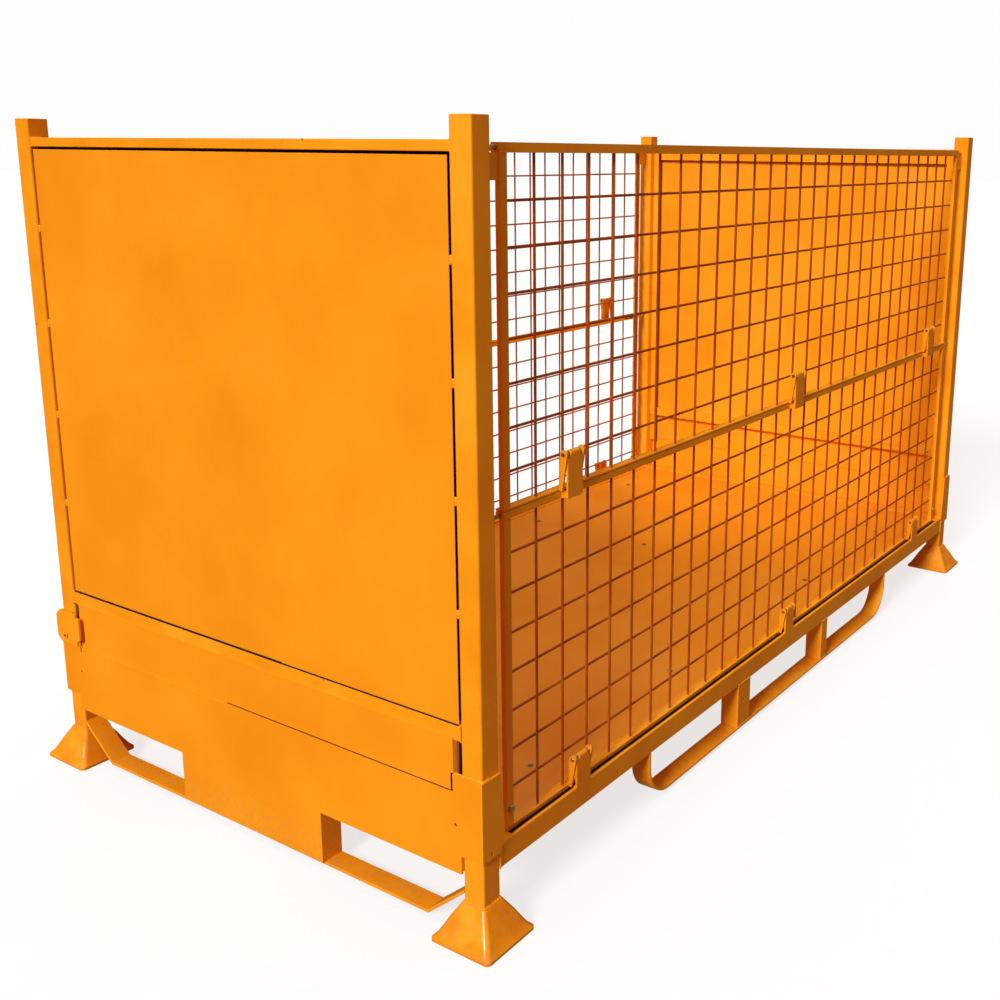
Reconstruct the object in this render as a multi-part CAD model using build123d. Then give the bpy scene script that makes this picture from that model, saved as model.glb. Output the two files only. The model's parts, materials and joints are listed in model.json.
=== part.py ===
"""Stackable steel container with sheet ends and two folding mesh gates on each long side.

Units are millimetres.  X runs along the length, Y across the width, Z up.
The origin is the middle of the footprint at the underside of the feet.
Each NAME.step in parts/ is one piece of the assembly, already in its place.
"""
import math
import os

from build123d import *

# overall sizes
length = 2400.0          # over the posts
width = 1200.0           # over the posts
height = 1400.0          # ground to the top of the posts

# posts and feet
post = 45.0
post_wall = 3.0
post_corner = 4.0
cap_t = 3.0
foot_base = 133.0
foot_h = 69.0
foot_lip = 5.0
foot_wall = 4.0

# base
rail_z0 = 126.0          # underside of the base rails, top of the fork pockets
rail = 45.0
rail_wall = 3.0
rail_hole_x = 784.0      # drain holes
rail_hole_z = 141.0
floor_t = 3.0
floor_drop = 3.0         # floor top below the rail top
bearer_w = 40.0
runner_t = 6.0
runner_z0 = 11.0
side_runner_reach = 662.0
side_runner_bend = 80.0
end_runner_lift = 87.0  # from the post inwards to where the runner lies flat
end_runner_rise = 84.0
upright_in = 208.0
upright_wide = 268.0
upright_narrow = 243.0
skirt_t = 5.0
skirt_z0 = 123.0
skirt_top = 275.0
skirt_ear = 310.0
drop_half = 205.0
wrap_t = 4.0
wrap_z0 = 158.0

# ends
end_slot = 17.0
mid_rail_z0 = 372.0
mid_rail = 23.0
mid_rail_h = 28.0
sheet_t = 2.0
sheet_gap = 6.5
seam = 2.0               # skirt to lower panel
top_rail_z = 1345.0
top_rail_h = 18.0
top_rail_w = 22.0
backing_set = 18.0       # outside of the mid rail to the backing strips behind the gaps
backing_w = 27.0

# gates
gate_gap = 40.0          # post to gate
stile = 18.0
gate_t = 18.0
gate_back = 33.0         # gate back face from the outside of the posts
gate_wall = 2.0
lower_z0 = 172.5
lower_z1 = 760.0
upper_z0 = 761.5
upper_z1 = 1360.0
gate_bar = 16.0          # top bar of the upper gate
meet_bar = 12.0          # top bar of the lower gate
flat_bar = 5.0           # bottom bar of the lower gate
sill_bar = 3.5           # bottom bar of the upper gate
wire_d = 5.0
wire_count = 27
wire_edge = 79.0         # stile to the first upright wire
row_count = 7
low_row_start = 64.5     # bottom bar to the first level wire
low_row_step = 73.0
high_row_start = 58.0
high_row_step = 74.4

# hinges
tab_w = 45.0
tab_t = 4.0
barrel_r = 6.0
pin_r = 4.0
fit = 0.08               # radial running clearance
ear_t = 5.0
ear_r = 7.5
hinge_in = 6.0           # hinge axis from the outside of the posts
low_axis_z = 230.0
mid_axis_z = 829.0
low_tab_x = 902.0
mid_tab_x = 931.0

# slide bolts
bolt_r = 4.0
bolt_len = 131.0
bolt_in_post = 13.0
bolt_hole_r = 4.6
knob_r = 3.0
bolt_travel = 25.0

# locks on the back posts
lock_in = 30.0           # pivot from the outside of the post
lock_z = 299.5
lock_t = 5.0

hl, hw = length / 2, width / 2
rail_z1 = rail_z0 + rail
gate_x = hl - post - gate_gap
gate_o0 = hw - gate_back
gate_o1 = gate_o0 + gate_t
axis_o = hw - hinge_in
wire_o = gate_o0 + 8.0            # plane where the two wire layers touch

os.makedirs("parts", exist_ok=True)


def block(x0, x1, y0, y1, z0, z1):
    """A box between two corners, whichever way round they are given."""
    c = Pos((x0 + x1) / 2, (y0 + y1) / 2, (z0 + z1) / 2)
    return c * Box(abs(x1 - x0), abs(y1 - y0), abs(z1 - z0))


def rod(axis, r, at, a, b):
    """A round bar along X, Y or Z between a and b; at holds the other two coordinates."""
    n = abs(b - a)
    m = (a + b) / 2
    if axis == "X":
        return Pos(m, at[0], at[1]) * Rot(0, 90, 0) * Cylinder(r, n)
    if axis == "Y":
        return Pos(at[0], m, at[1]) * Rot(90, 0, 0) * Cylinder(r, n)
    return Pos(at[0], at[1], m) * Cylinder(r, n)


def prism(points, step):
    """Extrude a closed outline of 3-D points by the vector step."""
    face = Face(Wire.make_polygon([Vector(*p) for p in points], close=True))
    d = Vector(*step)
    return extrude(face, amount=d.length, dir=d.normalized())


def tube(x0, x1, y0, y1, z0, z1, wall, axis):
    """A rectangular tube open at both ends along the axis."""
    o = block(x0, x1, y0, y1, z0, z1)
    lx, hx, ly, hy, lz, hz = x0 + wall, x1 - wall, y0 + wall, y1 - wall, z0 + wall, z1 - wall
    if axis == "X":
        lx, hx = x0 - 1, x1 + 1
    elif axis == "Y":
        ly, hy = y0 - 1, y1 + 1
    else:
        lz, hz = z0 - 1, z1 + 1
    return o - block(lx, hx, ly, hy, lz, hz)


def save(name, solids):
    """Write one piece; several bodies go in as one compound."""
    if not isinstance(solids, list):
        solids = [solids]
    flat = []
    for s in solids:
        flat += list(s.solids())
    shape = flat[0] if len(flat) == 1 else Compound(children=flat)
    export_step(shape, f"parts/{name}.step")
    print(f"{name}: {len(flat)} solid(s), {sum(s.volume for s in flat) / 1000:.1f} cm3")


corners = {"front_left": (-1, -1), "front_right": (1, -1), "back_left": (-1, 1), "back_right": (1, 1)}
sides = {"front": -1, "back": 1}
ends = {"left": -1, "right": 1}

# ---------------------------------------------------------------- feet, posts
foot_steps = [(0.0, 0.0, 10.0), (foot_lip, 0.0, 10.0), (12.0, 7.0, 10.0), (24.0, 14.0, 10.0),
              (42.0, 23.5, 9.0), (57.0, 33.0, 8.0), (foot_h, 40.5, 6.0)]
latch_z = [upper_z1 - gate_bar / 2, lower_z1 - meet_bar / 2]
latch_o = gate_o0 + gate_t / 2
post_mid = post / 2


def cup(inset, z_top, z_low):
    """The stepped bell between two heights, drawn in by a wall thickness."""
    rows = []
    for z, d, r in foot_steps:
        h = foot_base / 2 - d - inset
        rows.append((z, h, max(r - inset, 2.0)))
    rows[0] = (z_low, rows[0][1], rows[0][2])
    rows = [row for row in rows if row[0] < z_top] + [(z_top, rows[-1][1], rows[-1][2])]
    return loft([Plane.XY.offset(z) * RectangleRounded(2 * h, 2 * h, r) for z, h, r in rows], ruled=True)


foot_shell = cup(0.0, foot_h, 0.0) - cup(foot_wall, foot_h - foot_wall, -1.0)
for name, (sx, sy) in corners.items():
    cx, cy = sx * (hl - post_mid), sy * (hw - post_mid)
    save(f"foot_{name}", Pos(cx, cy, 0) * foot_shell)

    outer = Pos(cx, cy, (foot_h + height - cap_t) / 2) * Box(post, post, height - cap_t - foot_h)
    outer = fillet(outer.edges().filter_by(Axis.Z), post_corner)
    inner_half = post / 2 - post_wall
    inner = block(cx - inner_half, cx + inner_half, cy - inner_half, cy + inner_half, 0, height)
    shape = outer - inner
    for z in latch_z:
        shape -= rod("X", bolt_hole_r, (sy * latch_o, z), cx - sx * post, cx)
    save(f"post_{name}", shape)

caps = []
for sx, sy in corners.values():
    cap = Pos(sx * (hl - post_mid), sy * (hw - post_mid), height - cap_t / 2) * Box(post, post, cap_t)
    cap = fillet(cap.edges().filter_by(Axis.Z), post_corner)
    cap = chamfer(cap.faces().sort_by(Axis.Z)[-1].edges(), 1.0)
    caps.append(cap)
save("post_caps", caps)

# ---------------------------------------------------------------- base frame
in_x, in_y = hl - post, hw - post
for name, s in sides.items():
    lo, hi = sorted((s * in_y, s * hw))
    shape = tube(-in_x, in_x, lo, hi, rail_z0, rail_z1, rail_wall, "X")
    for t in (-1, 1):
        shape -= rod("Y", 3.0, (t * rail_hole_x, rail_hole_z), s * (hw - 5), s * (hw + 5))
    save(f"base_rail_{name}", shape)
for name, s in ends.items():
    lo, hi = sorted((s * in_x, s * hl))
    save(f"base_rail_{name}", tube(lo, hi, -in_y, in_y, rail_z0, rail_z1, rail_wall, "Y"))

floor_top = rail_z1 - floor_drop
save("floor_plate", block(-in_x, in_x, -in_y, in_y, floor_top - floor_t, floor_top))

bearers = []
for bx in (-0.72 * in_x, -238.0, 238.0, 0.72 * in_x):
    bearers.append(tube(bx - bearer_w / 2, bx + bearer_w / 2, -in_y, in_y, rail_z0, floor_top - floor_t, 3.0, "Y"))
save("floor_bearers", bearers)


def bend(cx, cz, r, a0, a1, n=10):
    """Points along an arc in the XZ plane, angles in degrees."""
    out = []
    for i in range(n + 1):
        a = math.radians(a0 + (a1 - a0) * i / n)
        out.append((cx + r * math.cos(a), cz + r * math.sin(a)))
    return out


bend_x = side_runner_reach - side_runner_bend
bend_z = runner_z0 + side_runner_bend
line_out = bend(bend_x, bend_z, side_runner_bend, -90, 0)
line_in = bend(bend_x, bend_z, side_runner_bend - runner_t, -90, 0)
outline = [(-x, z) for x, z in reversed(line_out + [(side_runner_reach, rail_z0)])]
outline += line_out + [(side_runner_reach, rail_z0), (side_runner_reach - runner_t, rail_z0)]
outline += line_in[::-1]
outline += [(-x, z) for x, z in line_in] + [(-(side_runner_reach - runner_t), rail_z0)]
for name, s in sides.items():
    save(f"side_runner_{name}", prism([(x, s * hw, z) for x, z in outline], (0, -s * rail, 0)))

uprights = []
deck = runner_z0 + runner_t
for s in sides.values():
    wide = block(s * upright_in, s * upright_wide, s * (hw - 5), s * hw, deck, rail_z0)
    wide += block(s * (upright_wide - 5), s * upright_wide, s * (hw - rail), s * (hw - 5), deck, rail_z0)
    wide -= rod("Y", 4.5, (s * (upright_in + 33), 78.0), s * (hw - 20), s * (hw + 5))
    slim = block(-s * upright_in, -s * upright_narrow, s * (hw - 5), s * hw, deck, rail_z0)
    slim += block(-s * upright_in, -s * (upright_in + 5), s * (hw - rail), s * (hw - 5), deck, rail_z0)
    uprights += [wide, slim]
save("side_uprights", uprights)

runners = []
for s in ends.values():
    y1, y2 = in_y - end_runner_lift, in_y
    z1, z2 = runner_z0, end_runner_rise
    pts = [(-y2, z2), (-y1, z1), (y1, z1), (y2, z2), (y2, z2 + 7.1), (y1 - 1.7, deck), (-y1 + 1.7, deck), (-y2, z2 + 7.1)]
    runners.append(prism([(s * in_x, y, z) for y, z in pts], (s * rail, 0, 0)))
save("end_runners", runners)

for name, s in ends.items():
    ear_y = in_y - end_slot
    pts = [(-hw, wrap_z0), (-in_y, wrap_z0), (-in_y, skirt_z0), (-drop_half, skirt_z0), (-drop_half, deck), (drop_half, deck), (drop_half, skirt_z0),
           (in_y, skirt_z0), (in_y, wrap_z0), (hw, wrap_z0), (hw, skirt_ear), (ear_y, skirt_ear), (ear_y, skirt_top), (-ear_y, skirt_top),
           (-ear_y, skirt_ear), (-hw, skirt_ear)]
    plate = prism([(s * hl, y, z) for y, z in pts], (s * skirt_t, 0, 0))
    for t in (-1, 1):
        plate += block(s * in_x, s * hl, t * (drop_half - 5), t * drop_half, deck, rail_z0)
        plate -= rod("X", 3.0, (t * 543.0, 215.0), s * (hl + 1.5), s * (hl + 9))
    save(f"end_skirt_{name}", plate)

wraps = []
for sx, sy in corners.values():
    pts = [(hl + skirt_t, wrap_z0), (in_x, wrap_z0), (in_x, rail_z1), (in_x - 12, rail_z1), (in_x, skirt_ear),
           (hl + skirt_t, skirt_ear)]
    wraps.append(prism([(sx * x, sy * hw, z) for x, z in pts], (0, sy * wrap_t, 0))
                 - rod("Y", 3.0, (sx * (hl - 20.0), wrap_z0 + 10.0), sy * (hw + 1.0), sy * (hw + wrap_t + 5)))
save("corner_wraps", wraps)

# ---------------------------------------------------------------- end walls
skin = hl - 3.0
welds = []
backings = []
for name, s in ends.items():
    a, b = sorted((s * skin, s * (skin - top_rail_w)))
    save(f"end_top_rail_{name}", tube(a, b, -in_y, in_y, top_rail_z, top_rail_z + top_rail_h, 2.0, "Y"))
    a, b = sorted((s * hl, s * (hl - mid_rail)))
    save(f"end_mid_rail_{name}", tube(a, b, -in_y, in_y, mid_rail_z0, mid_rail_z0 + mid_rail_h, 2.0, "Y"))
    save(f"end_panel_{name}", block(s * skin, s * (skin - sheet_t), -(in_y - sheet_gap), in_y - sheet_gap,
                                    mid_rail_z0 + mid_rail_h, top_rail_z - 5.0))
    low_y = in_y - end_slot
    save(f"end_lower_panel_{name}", block(s * hl, s * (hl + sheet_t), -low_y, low_y, skirt_top + seam, mid_rail_z0 + 4.0))
    back_x = hl - backing_set
    strip = block(s * back_x, s * (back_x - 3.0), -in_y, in_y, mid_rail_z0 + mid_rail_h, top_rail_z)
    strip -= block(s * (back_x + 1), s * (back_x - 4.0), -(in_y - backing_w), in_y - backing_w,
                   mid_rail_z0 + mid_rail_h - 1, top_rail_z - backing_w)
    backings.append(strip)
    for t in (-1, 1):
        for k in range(4):
            z = 600.0 + k * 194.0
            welds.append(block(s * (skin + 0.5), s * (skin - sheet_t - 0.5), t * (in_y - sheet_gap), t * in_y, z - 6, z + 6))
save("panel_tack_welds", welds)
save("end_backings", backings)

# ---------------------------------------------------------------- locks
brackets = []
pivots = []
lock_y = hw - lock_in
for name, s in ends.items():
    x0 = s * (hl + skirt_t)
    pts = [(541, 277), (600, 277), (612, 289), (612, 338), (600, 350), (541, 350)]
    pts = [(y - 600 + hw, z) for y, z in pts]
    plate = prism([(x0, y, z) for y, z in pts], (s * 5.0, 0, 0))
    plate += block(s * hl, x0, hw - 40, hw, skirt_ear, 350)
    brackets.append(plate)
    face = hl + skirt_t + 5.0
    pivots.append(rod("X", 4.0, (lock_y, lock_z), s * face, s * (face + lock_t + 1.0))
                  + rod("X", 6.0, (lock_y, lock_z), s * (face + lock_t + 1.0), s * (face + lock_t + 4.0)))
    x1, x2 = s * (face + 0.5), s * (face + 0.5 + lock_t)
    tip = lock_y - 49.0
    lever = prism([(x1, lock_y, lock_z - 8), (x1, tip + 6, lock_z - 8), (x1, tip, lock_z - 2), (x1, tip, lock_z + 46),
                   (x1, tip + 14, lock_z + 46), (x1, tip + 14, lock_z + 8), (x1, lock_y, lock_z + 8)],
                  (x2 - x1, 0, 0))
    lever += rod("X", 8.0, (lock_y, lock_z), x1, x2)
    lever -= rod("X", 4.0 + fit, (lock_y, lock_z), x1 - s, x2 + s)
    save(f"lock_lever_{name}", lever)
save("lock_brackets", brackets)
save("lock_pivots", pivots)

# ---------------------------------------------------------------- gates
pitch = (2 * gate_x - 2 * stile - 2 * wire_edge) / (wire_count - 1)
wire_x = [-gate_x + stile + wire_edge + pitch * i for i in range(wire_count)]


def ring(s, z0, z1, low, high):
    """A gate frame: level bars of full depth, stiles set in their outer half; low and high are the bar heights."""
    y0, y1 = sorted((s * gate_o0, s * gate_o1))
    solid = block(-gate_x, gate_x, y0, y1, z0, z1)
    solid -= block(-gate_x + stile, gate_x - stile, y0 - 1, y1 + 1, z0 + low, z1 - high)
    w = gate_wall
    for t in (-1, 1):
        solid -= block(t * (gate_x + 1), t * (gate_x - stile - 1), s * (gate_o0 - 1), s * wire_o, z0 + low, z1 - high)
        solid -= block(t * (gate_x - w), t * (gate_x - stile + w), s * (wire_o + w), s * (gate_o1 - w), z0 + low, z1 - high)
    solid -= block(-gate_x + 150, gate_x - 150, y0 + w, y1 - w, z1 - high + w, z1 - w)
    zb = z1 - high / 2
    for t in (-1, 1):
        solid -= rod("X", bolt_r + fit, (s * latch_o, zb), t * (gate_x + 2), t * (gate_x - 125))
        solid -= block(t * (gate_x - 100), t * (gate_x - 40), s * (gate_o0 - 1), s * latch_o,
                       zb - knob_r - 0.5, zb + knob_r + 0.5)
    return solid


def mesh(s, z0, z1, start, step):
    """Upright wires outside, level wires inside and run on behind the stiles."""
    out = []
    r = wire_d / 2
    for x in wire_x:
        out.append(rod("Z", r, (x, s * (wire_o + r)), z0, z1))
    reach = gate_x - stile / 2
    for i in range(row_count):
        out.append(rod("X", r, (s * (wire_o - r), z0 + start + step * i), -reach, reach))
    return out


def hooks(s, xs, z_low, z_axis, foot_o):
    """Hinge tabs: a plate rising from its rail with a curled top around the pin."""
    out = []
    for x in xs:
        h = tab_w / 2
        y = s * hw
        top = z_axis - 4
        plate = prism([(x - h, y, z_low), (x + h, y, z_low), (x + h, y, top - 8), (x + h - 10, y, top + 4),
                       (x - h + 10, y, top + 4), (x - h, y, top - 8)], (0, -s * tab_t, 0))
        plate += rod("X", barrel_r, (s * axis_o, z_axis), x - h + 10, x + h - 10)
        if foot_o:
            plate += block(x - h, x + h, s * (hw - tab_t), s * foot_o, z_low, z_low + meet_bar)
        plate -= rod("X", pin_r, (s * axis_o, z_axis), x - h, x + h)
        out.append(plate)
    return out


def pins(s, xs, z_axis):
    return [rod("X", pin_r, (s * axis_o, z_axis), x - tab_w / 2 - 8, x + tab_w / 2 + 12) for x in xs]


def ears(s, xs, z_base, high, z_axis):
    """Pairs of lugs that carry a gate on the pins."""
    out = None
    for x in xs:
        for t in (-1, 1):
            a = x + t * (tab_w / 2 + 1)
            b = a + t * ear_t
            y0, ya = s * gate_o1, s * axis_o
            lug = prism([(a, y0, z_base), (a, y0 + s * 6, z_base), (a, ya + s * ear_r, z_axis),
                         (a, ya - s * ear_r, z_axis), (a, y0, z_axis - 8), (a, y0, z_base + high)], (b - a, 0, 0))
            lug += rod("X", ear_r, (ya, z_axis), a, b)
            lug -= rod("X", pin_r + fit, (ya, z_axis), a - t, b + t)
            out = lug if out is None else out + lug
    return out


low_xs = [-low_tab_x, 0.0, low_tab_x]
mid_xs = [-mid_tab_x, 0.0, mid_tab_x]
tab_pins = []
for name, s in sides.items():
    save(f"rail_tabs_{name}", hooks(s, low_xs, rail_z1, low_axis_z, None))
    tab_pins += pins(s, low_xs, low_axis_z)

    lower = ring(s, lower_z0, lower_z1, flat_bar, meet_bar)
    lower += ears(s, low_xs, lower_z0, flat_bar, low_axis_z)
    for t in (-1, 1):
        lower -= rod("Y", 3.5, (t * (gate_x - stile / 2), 213.0), s * (gate_o1 - gate_wall - 1), s * (gate_o1 + 1))
    save(f"lower_gate_frame_{name}", lower)
    save(f"lower_gate_mesh_{name}", mesh(s, lower_z0 + flat_bar, lower_z1 - meet_bar,
                                            low_row_start, low_row_step))
    save(f"gate_tabs_{name}", hooks(s, mid_xs, lower_z1 - meet_bar, mid_axis_z, gate_o1))

    studs = []
    for t in (-1, 1):
        at = (t * (gate_x - stile / 2), 213.0)
        stud = rod("Y", 3.5, at, s * (gate_o1 - gate_wall), s * gate_o1)
        stud += rod("Y", 7.0, at, s * gate_o1, s * (gate_o1 + 5))
        studs.append(stud)
    save(f"gate_pins_{name}", pins(s, mid_xs, mid_axis_z) + studs)

    upper = ring(s, upper_z0, upper_z1, sill_bar, gate_bar)
    upper += ears(s, mid_xs, upper_z0, sill_bar, mid_axis_z)
    for t in (-1, 1):
        upper += block(t * gate_x, t * (gate_x + gate_gap - 1.5), s * (gate_o1 - 8), s * (gate_o1 - 3),
                       upper_z1 - 58, upper_z1 - gate_bar)
    save(f"upper_gate_frame_{name}", upper)
    save(f"upper_gate_mesh_{name}", mesh(s, upper_z0 + sill_bar, upper_z1 - gate_bar,
                                            high_row_start, high_row_step))

    for gate, z in (("upper", latch_z[0]), ("lower", latch_z[1])):
        for end, t in ends.items():
            tip = hl - post + bolt_in_post
            bolt = rod("X", bolt_r, (s * latch_o, z), t * tip, t * (tip - bolt_len))
            kx = t * (gate_x - 48)
            bolt += rod("Y", knob_r, (kx, z), s * latch_o, s * (gate_o0 - 14))
            save(f"{gate}_bolt_{name}_{end}", bolt)
save("rail_tab_pins", tab_pins)
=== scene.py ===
import json
import math

import bmesh
import bpy
from mathutils import Matrix, Vector


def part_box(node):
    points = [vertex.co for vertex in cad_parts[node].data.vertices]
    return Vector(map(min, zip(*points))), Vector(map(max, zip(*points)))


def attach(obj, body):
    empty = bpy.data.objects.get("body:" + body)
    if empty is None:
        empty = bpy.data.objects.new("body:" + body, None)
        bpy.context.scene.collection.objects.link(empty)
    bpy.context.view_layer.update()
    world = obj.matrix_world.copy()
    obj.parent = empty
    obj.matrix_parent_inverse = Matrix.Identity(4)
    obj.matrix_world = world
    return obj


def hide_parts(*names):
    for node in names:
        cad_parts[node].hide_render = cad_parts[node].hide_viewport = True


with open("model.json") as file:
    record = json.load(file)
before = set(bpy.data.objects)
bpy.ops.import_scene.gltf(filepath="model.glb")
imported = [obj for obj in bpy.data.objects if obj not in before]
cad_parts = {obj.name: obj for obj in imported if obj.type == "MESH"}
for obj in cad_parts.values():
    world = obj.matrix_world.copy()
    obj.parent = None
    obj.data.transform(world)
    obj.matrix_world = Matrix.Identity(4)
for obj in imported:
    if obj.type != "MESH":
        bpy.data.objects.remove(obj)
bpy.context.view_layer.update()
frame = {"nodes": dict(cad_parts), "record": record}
nodes = frame["nodes"]
nodeBody = {n: body for body, members in frame["record"]["behaviour"]["bodies"].items() for n in members}
nodeSlot = {s["node"]: s["material_slot"] for s in frame["record"]["subparts"]}
mm = 0.001
print("frame loaded:", len(nodes), "nodes")


# colours and materials

def linear(hexValue):
    out = []
    for i in (1, 3, 5):
        c = int(hexValue[i:i + 2], 16) / 255
        out.append(c / 12.92 if c <= 0.04045 else ((c + 0.055) / 1.055) ** 2.4)
    return (*out, 1.0)


def addNode(tree, kind, settings=None, links=None):
    node = tree.nodes.new(kind)
    for key, value in (settings or {}).items():
        if isinstance(key, str) and hasattr(node, key):
            setattr(node, key, value)
        else:
            node.inputs[key].default_value = value
    for key, (other, socket) in (links or {}).items():
        tree.links.new(other.outputs[socket], node.inputs[key])
    return node


def fillRamp(node, stops):
    ramp = node.color_ramp
    while len(ramp.elements) > 2:
        ramp.elements.remove(ramp.elements[1])
    for element, (place, hexValue) in zip(ramp.elements, (stops[0], stops[-1])):
        element.position, element.color = place, linear(hexValue)
    for place, hexValue in stops[1:-1]:
        ramp.elements.new(place).color = linear(hexValue)


# gloss alkyd enamel sprayed on mild steel: a saturated orange with a shallow orange peel,
# soft clouds where the coat is thicker, a film of dust low down and a few chips to the primer
enamel = {
    "coats": {
        "frameEnamel": {"deep": "#EE9410", "mid": "#F79F14", "thin": "#FBAB22",
                        "roughness": 0.26, "cloudMm": 160, "chips": 0.77},
        "sheetEnamel": {"deep": "#EF9210", "mid": "#F49A11", "thin": "#F7A117",
                        "roughness": 0.34, "cloudMm": 260, "chips": 0.83},
        "footEnamel": {"deep": "#E8860A", "mid": "#F2940F", "thin": "#FAA522",
                       "roughness": 0.20, "cloudMm": 60, "chips": 0.75},
        # the wire coat is a painted shade: much darker than the frame coat, for the shade on the thin wires
        "wireEnamelPaintedShade": {"deep": "#913C05", "mid": "#A54A07", "thin": "#BC5C0C",
                       "roughness": 0.36, "cloudMm": 90, "chips": 0.78},
        "weldEnamel": {"deep": "#EE9410", "mid": "#F59C14", "thin": "#FBAB2A",
                       "roughness": 0.30, "cloudMm": 8, "chips": 0.78},
    },
    "primer": "#7A3A12",
    "dust": "#B98A56",
    "dustTopMm": 130,
    "gritMm": 14,
    "chipMm": 22,
    "peelMm": 2.6,            # drawn twice as coarse as the real coat so that it shows
    "waveMm": 210,            # the sheet's own slow waves
}


def makeEnamel(name, coat):
    mat = bpy.data.materials.new(name)
    mat.use_nodes = True
    tree = mat.node_tree
    tree.nodes.clear()
    place = addNode(tree, "ShaderNodeTexCoord")
    clouds = addNode(tree, "ShaderNodeTexNoise",
                     {"Scale": 1000 / coat["cloudMm"], "Detail": 4.0, "Roughness": 0.55},
                     {"Vector": (place, "Object")})
    tint = addNode(tree, "ShaderNodeValToRGB", None, {"Fac": (clouds, "Fac")})
    fillRamp(tint, [(0.32, coat["deep"]), (0.5, coat["mid"]), (0.70, coat["thin"])])
    streakPlace = addNode(tree, "ShaderNodeMapping", {"Scale": (9.0, 9.0, 1.1)},     # vertical streaks that pull the coat toward its deep tone
                          {"Vector": (place, "Object")})
    streaks = addNode(tree, "ShaderNodeTexNoise", {"Scale": 3.0, "Detail": 5.0, "Roughness": 0.6},
                      {"Vector": (streakPlace, "Vector")})
    streakLevel = addNode(tree, "ShaderNodeMapRange", {"From Min": 0.52, "From Max": 0.78, "To Max": 0.16},
                          {"Value": (streaks, "Fac")})
    streaked = addNode(tree, "ShaderNodeMix", {"data_type": "RGBA", 7: linear(coat["deep"])},
                       {0: (streakLevel, "Result"), 6: (tint, "Color")})
    height = addNode(tree, "ShaderNodeSeparateXYZ", None, {"Vector": (place, "Object")})
    low = addNode(tree, "ShaderNodeMapRange",
                  {"From Min": 0.0, "From Max": enamel["dustTopMm"] * mm, "To Min": 0.55, "To Max": 0.03},
                  {"Value": (height, "Z")})
    grit = addNode(tree, "ShaderNodeTexNoise", {"Scale": 1000 / enamel["gritMm"], "Detail": 6.0, "Roughness": 0.7},
                   {"Vector": (place, "Object")})
    gritLevel = addNode(tree, "ShaderNodeMapRange", {"From Min": 0.46, "From Max": 0.72}, {"Value": (grit, "Fac")})
    dustLevel = addNode(tree, "ShaderNodeMath", {"operation": "MULTIPLY"},
                        {0: (low, "Result"), 1: (gritLevel, "Result")})
    dusty = addNode(tree, "ShaderNodeMix", {"data_type": "RGBA", 7: linear(enamel["dust"])},
                    {0: (dustLevel, "Value"), 6: (streaked, 2)})
    chipNoise = addNode(tree, "ShaderNodeTexNoise",
                        {"Scale": 1000 / enamel["chipMm"], "Detail": 3.0, "Roughness": 0.5},
                        {"Vector": (place, "Object")})
    chipLevel = addNode(tree, "ShaderNodeMapRange", {"From Min": coat["chips"], "From Max": coat["chips"] + 0.02},
                        {"Value": (chipNoise, "Fac")})
    chipped = addNode(tree, "ShaderNodeMix", {"data_type": "RGBA", 7: linear(enamel["primer"])},
                      {0: (chipLevel, "Result"), 6: (dusty, 2)})
    roughDust = addNode(tree, "ShaderNodeMapRange", {"To Min": coat["roughness"], "To Max": 0.75},
                        {"Value": (dustLevel, "Value")})
    roughCloud = addNode(tree, "ShaderNodeMapRange",
                         {"From Min": 0.3, "From Max": 0.7, "To Min": -0.05, "To Max": 0.09},
                         {"Value": (clouds, "Fac")})
    rough = addNode(tree, "ShaderNodeMath", {"operation": "ADD"},
                    {0: (roughDust, "Result"), 1: (roughCloud, "Result")})
    peel = addNode(tree, "ShaderNodeTexNoise", {"Scale": 1000 / enamel["peelMm"], "Detail": 1.5},
                   {"Vector": (place, "Object")})
    peelBump = addNode(tree, "ShaderNodeBump", {"Strength": 0.10, "Distance": 0.25 * mm}, {"Height": (peel, "Fac")})
    waves = addNode(tree, "ShaderNodeTexNoise", {"Scale": 1000 / enamel["waveMm"], "Detail": 1.0},
                    {"Vector": (place, "Object")})
    waveBump = addNode(tree, "ShaderNodeBump", {"Strength": 0.35, "Distance": 1.2 * mm},
                       {"Height": (waves, "Fac"), "Normal": (peelBump, "Normal")})
    chipBump = addNode(tree, "ShaderNodeBump", {"Strength": 0.5, "Distance": 0.15 * mm, "invert": True},
                       {"Height": (chipLevel, "Result"), "Normal": (waveBump, "Normal")})
    shader = addNode(tree, "ShaderNodeBsdfPrincipled", {"IOR": 1.5},
                     {"Base Color": (chipped, 2), "Roughness": (rough, "Value"), "Normal": (chipBump, "Normal")})
    addNode(tree, "ShaderNodeOutputMaterial", None, {"Surface": (shader, "BSDF")})
    return mat


# bright zinc plate on turned steel: pale grey metal with a faint yellow bloom and fine rubbing
zinc = {"bright": "#D9D8D2", "dull": "#9B9789", "smooth": 0.2, "rough": 0.42, "bloomMm": 9, "rubMm": 1.2}


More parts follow.
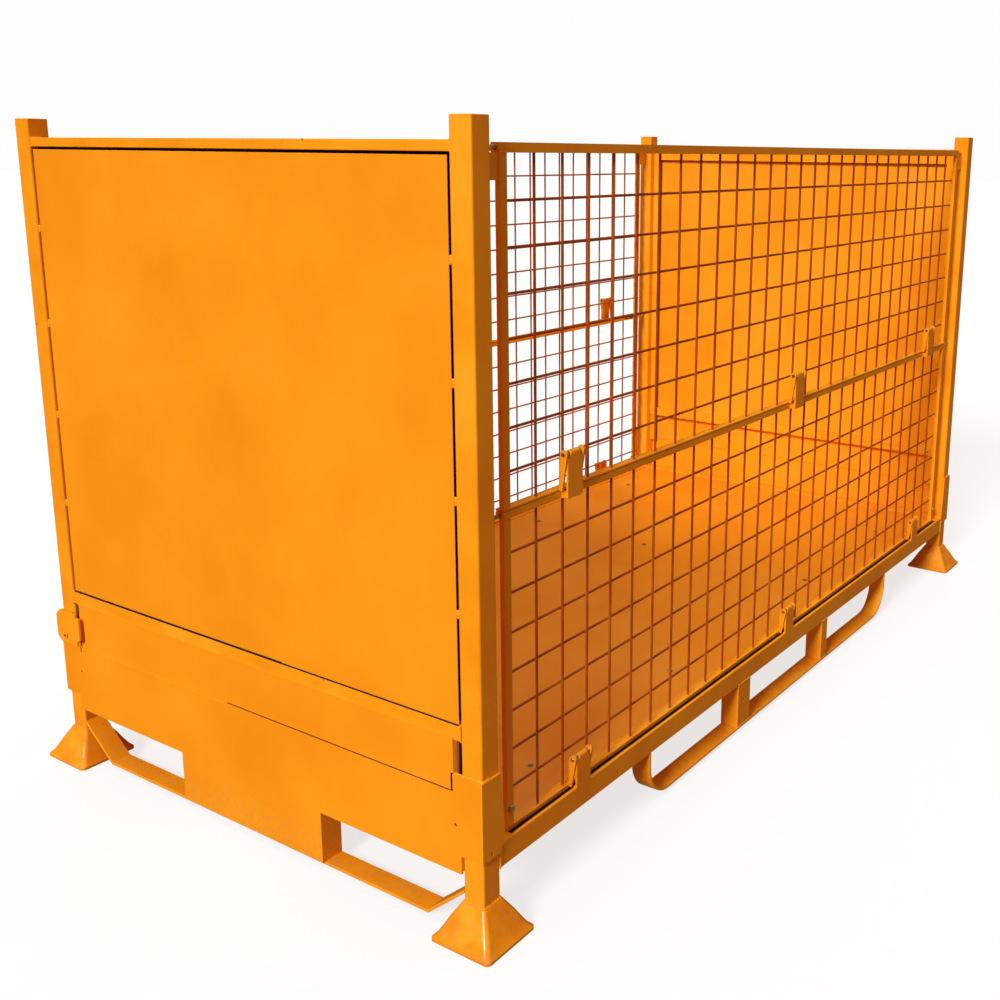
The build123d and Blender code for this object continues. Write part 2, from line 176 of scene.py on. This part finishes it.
def makeZinc():
    mat = bpy.data.materials.new("brightZincPlate")
    mat.use_nodes = True
    tree = mat.node_tree
    tree.nodes.clear()
    place = addNode(tree, "ShaderNodeTexCoord")
    bloom = addNode(tree, "ShaderNodeTexNoise", {"Scale": 1000 / zinc["bloomMm"], "Detail": 4.0},
                    {"Vector": (place, "Object")})
    tint = addNode(tree, "ShaderNodeValToRGB", None, {"Fac": (bloom, "Fac")})
    fillRamp(tint, [(0.35, zinc["dull"]), (0.65, zinc["bright"])])
    rub = addNode(tree, "ShaderNodeTexNoise", {"Scale": 1000 / zinc["rubMm"], "Detail": 2.0},
                  {"Vector": (place, "Object")})
    rough = addNode(tree, "ShaderNodeMapRange",
                    {"From Min": 0.3, "From Max": 0.7, "To Min": zinc["smooth"], "To Max": zinc["rough"]},
                    {"Value": (bloom, "Fac")})
    bump = addNode(tree, "ShaderNodeBump", {"Strength": 0.12, "Distance": 0.1 * mm}, {"Height": (rub, "Fac")})
    shader = addNode(tree, "ShaderNodeBsdfPrincipled", {"Metallic": 1.0},
                     {"Base Color": (tint, "Color"), "Roughness": (rough, "Result"), "Normal": (bump, "Normal")})
    addNode(tree, "ShaderNodeOutputMaterial", None, {"Surface": (shader, "BSDF")})
    return mat


# painted shade: a nearly black, dull, a little crumbly coat for the seams, gaps and drain holes, standing for the shade
# that falls into them
grime = {"dark": "#120A04", "paler": "#2C1A0C", "crumbMm": 3.5}


def makePaintedGapShade():
    mat = bpy.data.materials.new("paintedShadeInGaps")
    mat.use_nodes = True
    tree = mat.node_tree
    tree.nodes.clear()
    place = addNode(tree, "ShaderNodeTexCoord")
    crumbs = addNode(tree, "ShaderNodeTexNoise", {"Scale": 1000 / grime["crumbMm"], "Detail": 4.0},
                     {"Vector": (place, "Object")})
    tint = addNode(tree, "ShaderNodeValToRGB", None, {"Fac": (crumbs, "Fac")})
    fillRamp(tint, [(0.45, grime["dark"]), (0.75, grime["paler"])])
    bump = addNode(tree, "ShaderNodeBump", {"Strength": 0.4, "Distance": 0.3 * mm}, {"Height": (crumbs, "Fac")})
    shader = addNode(tree, "ShaderNodeBsdfPrincipled", {"Roughness": 0.92, "Specular IOR Level": 0.15},
                     {"Base Color": (tint, "Color"), "Normal": (bump, "Normal")})
    addNode(tree, "ShaderNodeOutputMaterial", None, {"Surface": (shader, "BSDF")})
    return mat


coats = {name: makeEnamel(name, coat) for name, coat in enamel["coats"].items()}
finishes = {
    "frame_enamel": coats["frameEnamel"],
    "sheet_enamel": coats["sheetEnamel"],
    "foot_enamel": coats["footEnamel"],
    "wire_enamel": coats["wireEnamelPaintedShade"],
    "weld_enamel": coats["weldEnamel"],
    "zinc": makeZinc(),
    "grime": makePaintedGapShade(),
}
print("finishes made:", len(finishes))


# pieces

def placePiece(bm, name, slotName, body, sharpDeg=32.0):
    for face in bm.faces:
        face.smooth = True
    for edge in bm.edges:
        edge.smooth = len(edge.link_faces) == 2 and edge.calc_face_angle(0.0) < math.radians(sharpDeg)
    mesh = bpy.data.meshes.new(name)
    bm.to_mesh(mesh)
    bm.free()
    mesh.materials.append(finishes[slotName])
    piece = bpy.data.objects.new(name, mesh)
    bpy.context.scene.collection.objects.link(piece)
    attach(piece, body)
    return piece


def flatTurn(normal):
    return Vector(normal).to_track_quat("Z", "Y").to_matrix().to_4x4()


def addBox(bm, low, high):
    middle = [(a + b) / 2 for a, b in zip(low, high)]
    size = [abs(b - a) for a, b in zip(low, high)]
    bmesh.ops.create_cube(bm, size=1.0, matrix=Matrix.Translation(middle) @ Matrix.Diagonal((*size, 1.0)))


def centres(values, apartMm):                                # the middle of each cluster of nearby places
    groups = []
    for value in sorted(values):
        if groups and value - groups[-1][-1] < apartMm * mm:
            groups[-1].append(value)
        else:
            groups.append([value])
    return [(group[0] + group[-1]) / 2 for group in groups]


# rolled and sheared edges: each CAD node is copied, merged, and its corners rounded
edges = {
    "roundMm": {"baseRail": 3.0, "rail": 2.0, "gateFrame": 2.2, "runner": 1.2, "sheet": 0.8, "foot": 1.4, "fine": 0.6},
    "kinds": [                                               # the first part of a name that fits decides
        ("post_caps", "sheet"), ("post_", "fine"), ("foot_", "foot"), ("base_rail", "baseRail"),
        ("end_top_rail", "rail"), ("end_mid_rail", "rail"), ("side_runner", "runner"), ("end_runners", "runner"),
        ("_frame_", "gateFrame"), ("floor_bearers", "baseRail"), ("_mesh_", None), ("bolt_", "fine"),
        ("pins", "fine"), ("pivots", "fine"), ("lever", "fine"),
    ],
    "mergeMm": 0.005, "flatDeg": 0.6, "sharpDeg": 40, "rings": 3,
}


def roundedCopy(name):
    kind = next((value for part, value in edges["kinds"] if part in name), "sheet")
    bm = bmesh.new()
    bm.from_mesh(nodes[name].data)
    bmesh.ops.remove_doubles(bm, verts=bm.verts, dist=edges["mergeMm"] * mm)
    bmesh.ops.dissolve_limit(bm, angle_limit=math.radians(edges["flatDeg"]), verts=bm.verts, edges=bm.edges)
    if kind:
        limit = math.radians(edges["sharpDeg"])
        sharp = [e for e in bm.edges if len(e.link_faces) == 2 and e.calc_face_angle(0.0) > limit]
        bmesh.ops.bevel(bm, geom=sharp, offset=edges["roundMm"][kind] * mm, offset_type="OFFSET",
                        segments=edges["rings"], profile=0.5, affect="EDGES", material=-1, clamp_overlap=True)
    piece = placePiece(bm, "skin_" + name, nodeSlot[name], nodeBody[name])
    weight = piece.modifiers.new("flatFaces", "WEIGHTED_NORMAL")
    weight.keep_sharp = True
    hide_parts(name)


for name in sorted(nodes):
    if name != "panel_tack_welds":
        roundedCopy(name)
print("rounded copies made")


# weld beads: a row of overlapping ripples laid along a joint
bead = {
    "stepMm": 1.9, "flatten": 0.8,
    "radiusMm": {"foot": 2.0, "wrapSide": 2.4, "wrapEnd": 2.0, "baseRail": 2.6, "endRail": 1.6,
                 "runner": 2.6, "upright": 2.0, "railTab": 2.4, "stile": 1.2, "gateTab": 1.8},
}


def joinOn(bm, part):
    carrier = bpy.data.meshes.new("carrier")
    part.to_mesh(carrier)
    part.free()
    bm.from_mesh(carrier)
    bpy.data.meshes.remove(carrier)


def layBead(bm, joint, start, end):
    radius = bead["radiusMm"][joint] * mm
    start, end = Vector(start), Vector(end)
    run = end - start
    count = max(2, int(run.length / (bead["stepMm"] * mm)))
    turn = run.to_track_quat("X", "Z").to_matrix().to_4x4()
    row = bmesh.new()                                        # made alone and then joined on, which is quick
    for i in range(count + 1):
        wobble = 1.0 + 0.07 * math.sin(i * 2.4) + 0.06 * math.sin(i * 0.9 + start.x * 40)
        lift = 0.35 * mm * math.sin(i * 1.7 + start.y * 30)
        place = Matrix.Translation(start + run * (i / count) + Vector((0, 0, lift)))
        shape = Matrix.Diagonal((bead["flatten"], wobble, wobble, 1.0))
        bmesh.ops.create_uvsphere(row, u_segments=8, v_segments=6, radius=radius, matrix=place @ turn @ shape)
    joinOn(bm, row)


postLow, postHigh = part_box("post_front_left")
railLow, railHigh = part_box("base_rail_front")
wrapLow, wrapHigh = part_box("corner_wraps")
skirtLow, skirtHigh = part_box("end_skirt_left")
topLow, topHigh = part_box("end_top_rail_left")
midLow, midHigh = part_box("end_mid_rail_left")
panelLow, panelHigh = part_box("end_panel_left")
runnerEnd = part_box("side_runner_front")[1].x
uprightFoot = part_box("side_uprights")[0].z
halfLength, halfWidth, postSize = -postLow.x, -postLow.y, postHigh.x - postLow.x
innerX, innerY = halfLength - postSize, halfWidth - postSize

baseJoints = {
    "wrapSideMm": 26, "wrapEndMm": 14, "insetMm": 1,         # reach of the wraps past the post, and their round corner
    "railShortMm": 4, "postShortMm": 8, "runnerShortMm": 3,
    "nearMm": 208, "wideMm": 268, "narrowMm": 243,           # uprights, from the middle of the long side
    "uprightInMm": 0.5,
    "tabMm": 45, "tabInMm": 5,
}
inset = baseJoints["insetMm"] * mm
baseWelds = bmesh.new()
for sx in (-1, 1):
    outX, inX = sx * halfLength, sx * innerX
    for sy in (-1, 1):
        outY, inY = sy * halfWidth, sy * innerY
        leftX, rightX = sorted((outX, inX))
        frontY, backY = sorted((outY, inY))
        ring = [(leftX, frontY), (rightX, frontY), (rightX, backY), (leftX, backY)]
        for i in range(4):                                   # post to foot
            layBead(baseWelds, "foot", (*ring[i], postLow.z), (*ring[(i + 1) % 4], postLow.z))
        wrapX = sx * (innerX + baseJoints["wrapSideMm"] * mm)
        wrapY = sy * (innerY - baseJoints["wrapEndMm"] * mm)
        layBead(baseWelds, "wrapSide", (sx * (halfLength - inset), outY, wrapHigh.z), (wrapX, outY, wrapHigh.z))
        layBead(baseWelds, "wrapEnd", (outX, wrapY, wrapHigh.z), (outX, sy * (halfWidth - inset), wrapHigh.z))
        layBead(baseWelds, "wrapSide", (inX, outY, railLow.z), (inX, outY, wrapLow.z))
        shortY = sy * (halfWidth - baseJoints["railShortMm"] * mm)
        shortX = sx * (halfLength - baseJoints["postShortMm"] * mm)
        layBead(baseWelds, "baseRail", (inX, inY, railHigh.z), (inX, shortY, railHigh.z))
        layBead(baseWelds, "baseRail", (inX, inY, railHigh.z), (shortX, inY, railHigh.z))
        for low, high in ((topLow, topHigh), (midLow, midHigh)):            # end rails to posts
            for z in (low.z, high.z):
                layBead(baseWelds, "endRail", (-sx * low.x, inY, z), (-sx * high.x, inY, z))
runnerShort = baseJoints["runnerShortMm"] * mm
uprightIn = halfWidth - baseJoints["uprightInMm"] * mm
near, wide, narrow = (baseJoints[k] * mm for k in ("nearMm", "wideMm", "narrowMm"))
for sy in (-1, 1):
    for sx in (-1, 1):
        reach = sx * runnerEnd
        layBead(baseWelds, "runner", (reach, sy * (halfWidth - runnerShort), railLow.z),
                (reach, sy * (innerY + runnerShort), railLow.z))
    for a, b in ((near, wide), (-near, -narrow)):            # uprights to runner and rail
        for z in (uprightFoot, railLow.z):
            layBead(baseWelds, "upright", (sy * a, sy * uprightIn, z), (sy * b, sy * uprightIn, z))
tabHalf = baseJoints["tabMm"] * mm / 2
for side in ("front", "back"):                               # hinge tabs to the side rails
    lo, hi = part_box("rail_tabs_" + side)
    tabY = math.copysign(halfWidth - baseJoints["tabInMm"] * mm, lo.y)
    for x in (lo.x + tabHalf, 0.0, hi.x - tabHalf):
        layBead(baseWelds, "railTab", (x - tabHalf, tabY, lo.z), (x + tabHalf, tabY, lo.z))
placePiece(baseWelds, "baseWelds", "weld_enamel", "base", 60)

# tacks that bridge the gap beside the end sheets, each of three blobs: height from the middle, and radius
tack = {"blobsMm": ((-4.5, 3.6), (0, 4.2), (4.5, 3.8)), "flatten": 0.7, "apartMm": 30}
tackWelds = bmesh.new()
tackZs = centres({round(v.co.z, 4) for v in nodes["panel_tack_welds"].data.vertices}, tack["apartMm"])
tackX, tackY = -(panelLow.x + panelHigh.x) / 2, (innerY + panelHigh.y) / 2
for sx in (-1, 1):
    for sy in (-1, 1):
        for z in tackZs:
            for up, radius in tack["blobsMm"]:
                place = Matrix.Translation((sx * tackX, sy * tackY, z + up * mm))
                bmesh.ops.create_uvsphere(tackWelds, u_segments=12, v_segments=8, radius=radius * mm,
                                          matrix=place @ Matrix.Diagonal((tack["flatten"], 1, 1, 1)))
tacks = placePiece(tackWelds, "tackWelds", "weld_enamel", "base", 60)
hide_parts("panel_tack_welds")
print("base welds laid")


# fused crossings and ends of the mesh wires, and the welds of the gate frames
spot = {"radiusMm": 3.3, "flatten": 0.8, "endMm": 3.6, "endFlatten": 0.45, "layerMm": 2.5, "apartMm": 12, "nearMm": 0.1}
gateJoints = {"inMm": 15, "stileMm": 18, "cornerMm": 1, "tabMm": 45, "tabShortMm": 0.5, "tabOutMm": 0.5}


def addSpot(bm, at, radiusMm, shape):
    bmesh.ops.create_icosphere(bm, subdivisions=1, radius=radiusMm * mm,
                               matrix=Matrix.Translation(at) @ Matrix.Diagonal((*shape, 1)))


for side in ("front", "back"):
    for gate in ("lower", "upper"):
        meshNode = nodes[f"{gate}_gate_mesh_{side}"]
        lo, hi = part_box(meshNode.name)
        sy = -1 if lo.y < 0 else 1
        middle = (lo.y + hi.y) / 2
        ends = [v.co for v in meshNode.data.vertices]
        near = spot["nearMm"] * mm
        xs = centres({round(co.x, 4) for co in ends if abs(co.z - hi.z) < near}, spot["apartMm"])
        zs = centres({round(co.z, 4) for co in ends if abs(co.x - hi.x) < near}, spot["apartMm"])
        spots = bmesh.new()
        for x in xs:
            column = bmesh.new()
            for z in zs:
                addSpot(column, (x, middle, z), spot["radiusMm"], (1, spot["flatten"], 1))
            joinOn(spots, column)
        layer = sy * spot["layerMm"] * mm
        for x in xs:
            for z in (lo.z, hi.z):
                addSpot(spots, (x, middle + layer, z), spot["endMm"], (1, spot["flatten"], spot["endFlatten"]))
        for z in zs:
            for x in (lo.x, hi.x):
                addSpot(spots, (x, middle - layer, z), spot["endMm"], (spot["endFlatten"], spot["flatten"], 1))
        placePiece(spots, f"wireSpots_{gate}_{side}", "wire_enamel", f"{gate}_gate_{side}", 60)

        gateWelds = bmesh.new()
        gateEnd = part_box(f"lower_gate_frame_{side}")[1].x
        faceY = sy * (halfWidth - gateJoints["inMm"] * mm)
        for t in (-1, 1):
            for z in (lo.z, hi.z):
                layBead(gateWelds, "stile", (t * (gateEnd - gateJoints["stileMm"] * mm), faceY, z),
                        (t * (gateEnd - gateJoints["cornerMm"] * mm), faceY, z))
        if gate == "lower":
            tabsLow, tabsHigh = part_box(f"gate_tabs_{side}")
            tabHalf = gateJoints["tabMm"] * mm / 2
            reach = tabHalf - gateJoints["tabShortMm"] * mm
            tabY = faceY + sy * gateJoints["tabOutMm"] * mm
            for x in (tabsLow.x + tabHalf, 0.0, tabsHigh.x - tabHalf):
                layBead(gateWelds, "gateTab", (x - reach, tabY, hi.z), (x + reach, tabY, hi.z))
        placePiece(gateWelds, f"gateWelds_{gate}_{side}", "weld_enamel", f"{gate}_gate_{side}", 60)
print("gate welds laid")


# fasteners: hexagon bolts on washers, through the floor and the mid rails of the ends
bolt = {
    "floor": {"headMm": 5.0, "tallMm": 3.0, "washerMm": 8.0},
    "wall": {"headMm": 4.5, "tallMm": 3.0, "washerMm": 7.0},
    "washerThickMm": 1.6, "washerTaper": 0.94, "headTaper": 0.93,
    "floorAlong": (-0.78, -0.32, 0.32, 0.78),                # shares of the inner half sizes
    "floorAcross": (-0.85, 0.12, 0.85), "floorUpMm": 0.4,
    "wallAcross": (-0.95, 0.95), "wallInMm": 23.2,
}


def setBolt(bm, kind, at, normal):
    size, turn = bolt[kind], flatTurn(normal)
    washer, head, thick = size["washerMm"] * mm, size["headMm"] * mm, bolt["washerThickMm"] * mm
    bmesh.ops.create_cone(bm, cap_ends=True, segments=28, radius1=washer, radius2=washer * bolt["washerTaper"],
                          depth=thick, matrix=Matrix.Translation(at) @ turn)
    top = Vector(at) + Vector(normal) * (thick + size["tallMm"] * mm) / 2
    bmesh.ops.create_cone(bm, cap_ends=True, segments=6, radius1=head, radius2=head * bolt["headTaper"],
                          depth=size["tallMm"] * mm, matrix=Matrix.Translation(top) @ turn)


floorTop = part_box("floor_plate")[1].z
bolts = bmesh.new()
for x in bolt["floorAlong"]:
    for y in bolt["floorAcross"]:
        setBolt(bolts, "floor", (x * innerX, y * innerY, floorTop + bolt["floorUpMm"] * mm), (0, 0, 1))
for sx in (-1, 1):
    for y in bolt["wallAcross"]:
        wallX = sx * (halfLength - bolt["wallInMm"] * mm)
        setBolt(bolts, "wall", (wallX, y * innerY, (midLow.z + midHigh.z) / 2), (-sx, 0, 0))
placePiece(bolts, "wallBolts", "zinc", "base", 25)
print("fasteners set")


# painted shade: dark strips laid in the seams, in the gaps round the end sheets, along the foot of the gates and in the
# drain holes, where these fall into shade
paintedShade = {
    "proudMm": 0.25,
    "gapMm": 22, "gapShortMm": 0.2, "topShortMm": 2,         # along the backing strips
    "slotInMm": 6, "slotShadeMm": 1, "slotOutMm": 0.5, "slotDeepMm": (15, 16, 18), "slotUnderMm": 3,
    "ledgeMm": 2.6, "ledgeThinFrom": 0.2, "ledgeThin": 0.5,
    "seamMm": 2.0, "seamReachMm": 590, "seamSkinMm": (0.2, 1.2, 1.6), "seamBackMm": 1.5,
    "lineMm": 2.4, "lineUnderMm": 12, "cornerMm": 6,
    "sillMm": (14.5, 6.5),
}
proud = paintedShade["proudMm"] * mm
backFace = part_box("end_backings")[0].x
lowPanelLow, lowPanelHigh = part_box("end_lower_panel_left")
slotInner, seamTop = lowPanelHigh.y, lowPanelLow.z
seamFoot = seamTop - paintedShade["seamMm"] * mm
ledge = midHigh.z + paintedShade["ledgeMm"] * mm
thinLedge = midHigh.z + paintedShade["ledgeThin"] * paintedShade["ledgeMm"] * mm
shadeNear, shadeFar, fillFar = (d * mm for d in paintedShade["slotDeepMm"])
skinNear, skinFar, fillSkin = (d * mm for d in paintedShade["seamSkinMm"])
seams, fillers = bmesh.new(), bmesh.new()
for sx in (-1, 1):
    backX, sheetX, midX = -sx * backFace, -sx * panelLow.x, -sx * midLow.x
    skirtFace, lowPanelFace = -sx * skirtLow.x + sx * proud, -sx * lowPanelLow.x + sx * proud
    slotFoot = seamTop - paintedShade["slotUnderMm"] * mm
    for sy in (-1, 1):
        if sx * sy > 0:                                      # painted shade in the upright gap, on one side only
            addBox(seams, (backX, sy * (innerY - paintedShade["gapMm"] * mm), midHigh.z),
                   (backX + sx * proud, sy * (innerY - paintedShade["gapShortMm"] * mm), topLow.z - proud))
        # painted shade: a dark plate deep in each end slot, with a sheet-coloured filler behind it
        rim = sy * (innerY + paintedShade["slotOutMm"] * mm)
        addBox(seams, (midX - sx * shadeFar, sy * (slotInner - paintedShade["slotShadeMm"] * mm), slotFoot),
               (midX - sx * shadeNear, rim, midLow.z))
        addBox(fillers, (midX - sx * fillFar, sy * (slotInner - paintedShade["slotInMm"] * mm), slotFoot),
               (midX - sx * shadeFar, rim, midLow.z))
    # painted shade in the gap under the top rail
    topReach = innerY - paintedShade["topShortMm"] * mm
    addBox(seams, (backX, -topReach, topLow.z - paintedShade["gapMm"] * mm), (backX + sx * proud, topReach, topLow.z - proud))
    # painted shade along the ledge on the mid rail, thicker on one side
    thinY = sx * paintedShade["ledgeThinFrom"] * panelHigh.y
    addBox(seams, (sheetX, -sx * panelHigh.y, midHigh.z), (midX, thinY, ledge))
    addBox(seams, (sheetX, thinY, midHigh.z), (midX, sx * panelHigh.y, thinLedge))
    lineY = slotInner - paintedShade["lineMm"] * mm                  # painted shade lines beside the lock, and beside the skirt's raised corner
    addBox(seams, (midX, lineY, seamFoot - paintedShade["lineUnderMm"] * mm), (skirtFace, slotInner, seamFoot))
    addBox(seams, (midX, lineY, seamTop), (lowPanelFace, slotInner, midLow.z))
    addBox(seams, (midX, -(slotInner - paintedShade["cornerMm"] * mm), seamTop), (lowPanelFace, -slotInner, skirtHigh.z))
    turnY = sx * (slotInner - paintedShade["seamReachMm"] * mm)      # painted shade on one stretch of the seam, paint on the other
    addBox(seams, (midX + sx * skinNear, sx * slotInner, seamFoot), (midX + sx * skinFar, turnY, seamTop))
    addBox(fillers, (midX + sx * skinNear, -sx * slotInner, seamFoot), (midX + sx * fillSkin, turnY, seamTop))
    addBox(fillers, (midX - sx * paintedShade["seamBackMm"] * mm, -slotInner, seamFoot),
           (midX + sx * skinNear, slotInner, seamTop))
placePiece(seams, "paintedSeamShade", "grime", "base", 25)
placePiece(fillers, "seamFillers", "sheet_enamel", "base", 25)

# painted shade along the rail top at the foot of the lower gates
sills = bmesh.new()
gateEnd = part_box("lower_gate_frame_front")[1].x
sillIn, sillOut = (halfWidth - d * mm for d in paintedShade["sillMm"])
for sy in (-1, 1):
    addBox(sills, (-gateEnd, sy * sillIn, railHigh.z), (gateEnd, sy * sillOut, railHigh.z + proud))
placePiece(sills, "paintedSillShade", "grime", "base", 25)

# dark plugs in the small holes and on the lock pivots, a painted shade for their depth: places from the middle,
# heights, and how far each stands off the post faces
hole = {
    "radiusMm": 2.9, "thickMm": 0.4,
    "skirtAcrossMm": 543, "skirtUpMm": 215, "skirtOutMm": 2.2,
    "wrapInMm": 20, "wrapOutMm": 1.4, "wrapUpMm": 10,
    "railAlongMm": 784, "railUpMm": 141, "railInMm": 2.5,
}
pivotLow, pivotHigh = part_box("lock_pivots")
pivotFace, pivotY, pivotZ = pivotHigh.x, (pivotLow.y + pivotHigh.y) / 2, (pivotLow.z + pivotHigh.z) / 2
holes = bmesh.new()
for sx in (-1, 1):
    plugs = [((sx * pivotFace, pivotY, pivotZ), (sx, 0, 0))]
    skirtX = sx * (halfLength + hole["skirtOutMm"] * mm)
    wrapX, railX = sx * (halfLength - hole["wrapInMm"] * mm), sx * hole["railAlongMm"] * mm
    for sy in (-1, 1):
        wrapY, railY = sy * (halfWidth + hole["wrapOutMm"] * mm), sy * (halfWidth - hole["railInMm"] * mm)
        plugs += [((skirtX, sy * hole["skirtAcrossMm"] * mm, hole["skirtUpMm"] * mm), (sx, 0, 0)),
                  ((wrapX, wrapY, wrapLow.z + hole["wrapUpMm"] * mm), (0, sy, 0)),
                  ((railX, railY, hole["railUpMm"] * mm), (0, sy, 0))]
    for at, normal in plugs:
        bmesh.ops.create_cone(holes, cap_ends=True, segments=20, radius1=hole["radiusMm"] * mm,
                              radius2=hole["radiusMm"] * mm, depth=hole["thickMm"] * mm,
                              matrix=Matrix.Translation(at) @ flatTurn(normal))
placePiece(holes, "paintedHoleShade", "grime", "base", 25)
print("dirt laid")


# stage, lights and camera
studio = {
    "floorTone": "#84878C", "floorLight": "#FFFFFE", "floorGlow": 0.76, "floorM": 60.0, "floorDropMm": 0.2,
    "skyTone": "#FDFDFC", "fillTone": "#F5B76E", "skyFill": 0.28,
    "key": {"from": (-0.83, -0.10, 0.52), "strength": 3.15, "softDeg": 16, "tone": "#FFFAF0"},
    "top": {"from": (0.10, 0.15, 1.0), "strength": 1.15, "softDeg": 80, "tone": "#FFFFFF"},
}
bpy.context.scene.view_settings.view_transform = "Standard"

floorBm = bmesh.new()
bmesh.ops.create_grid(floorBm, x_segments=1, y_segments=1, size=studio["floorM"],
                      matrix=Matrix.Translation((0, 0, -studio["floorDropMm"] * mm)))
floorMesh = bpy.data.meshes.new("paleFloor")
floorBm.to_mesh(floorMesh)
floorBm.free()
floorMat = bpy.data.materials.new("mattPaper")
floorMat.use_nodes = True
floorShader = floorMat.node_tree.nodes["Principled BSDF"]
floorShader.inputs["Base Color"].default_value = linear(studio["floorTone"])
floorShader.inputs["Roughness"].default_value = 0.95
floorShader.inputs["Specular IOR Level"].default_value = 0.05
floorShader.inputs["Emission Color"].default_value = linear(studio["floorLight"])
floorShader.inputs["Emission Strength"].default_value = studio["floorGlow"]
floorMesh.materials.append(floorMat)
floor = bpy.data.objects.new("paleFloor", floorMesh)
bpy.context.scene.collection.objects.link(floor)
floor.visible_diffuse = False                                # so that the pale floor doesn't flood the shaded sides
floor.visible_glossy = False

world = bpy.data.worlds.new("studioSky")
bpy.context.scene.world = world
world.use_nodes = True
sky = world.node_tree
sky.nodes.clear()
ray = addNode(sky, "ShaderNodeLightPath")
level = addNode(sky, "ShaderNodeMapRange", {"To Min": studio["skyFill"], "To Max": 1.0},
                {"Value": (ray, "Is Camera Ray")})
tone = addNode(sky, "ShaderNodeMix",
               {"data_type": "RGBA", 6: linear(studio["fillTone"]), 7: linear(studio["skyTone"])},
               {0: (ray, "Is Camera Ray")})
backdrop = addNode(sky, "ShaderNodeBackground", None, {"Color": (tone, 2), "Strength": (level, "Result")})
addNode(sky, "ShaderNodeOutputWorld", None, {"Surface": (backdrop, "Background")})

for lampName in ("key", "top"):
    setup = studio[lampName]
    lamp = bpy.data.lights.new(lampName, "SUN")
    lamp.energy = setup["strength"]
    lamp.angle = math.radians(setup["softDeg"])
    lamp.color = linear(setup["tone"])[:3]
    lampObject = bpy.data.objects.new(lampName, lamp)
    lampObject.rotation_euler = Vector(setup["from"]).to_track_quat("Z", "Y").to_euler()
    bpy.context.scene.collection.objects.link(lampObject)

view = {"at": (-2.593, -1.784, 1.348), "turnDeg": -56.61, "downDeg": 12.95, "rollDeg": 0.59,
        "lensMm": 42.87, "sensorMm": 36.0, "shift": (-0.1178, -0.0751)}
turn, down, roll = (math.radians(view[k]) for k in ("turnDeg", "downDeg", "rollDeg"))
ahead = Vector((-math.sin(turn) * math.cos(down), math.cos(turn) * math.cos(down), -math.sin(down)))
right = ahead.cross(Vector((0, 0, 1))).normalized()
above = right.cross(ahead)
rightRolled = right * math.cos(roll) + above * math.sin(roll)
aboveRolled = -right * math.sin(roll) + above * math.cos(roll)
camData = bpy.data.cameras.new("camera")
camData.sensor_width = view["sensorMm"]
camData.lens = view["lensMm"]
camData.shift_x, camData.shift_y = view["shift"]
camData.clip_start, camData.clip_end = 0.05, 200
camera = bpy.data.objects.new("camera", camData)
pose = Matrix((rightRolled, aboveRolled, -ahead)).transposed().to_4x4()
camera.matrix_world = Matrix.Translation(view["at"]) @ pose
bpy.context.scene.collection.objects.link(camera)
bpy.context.scene.camera = camera
print("camera set")
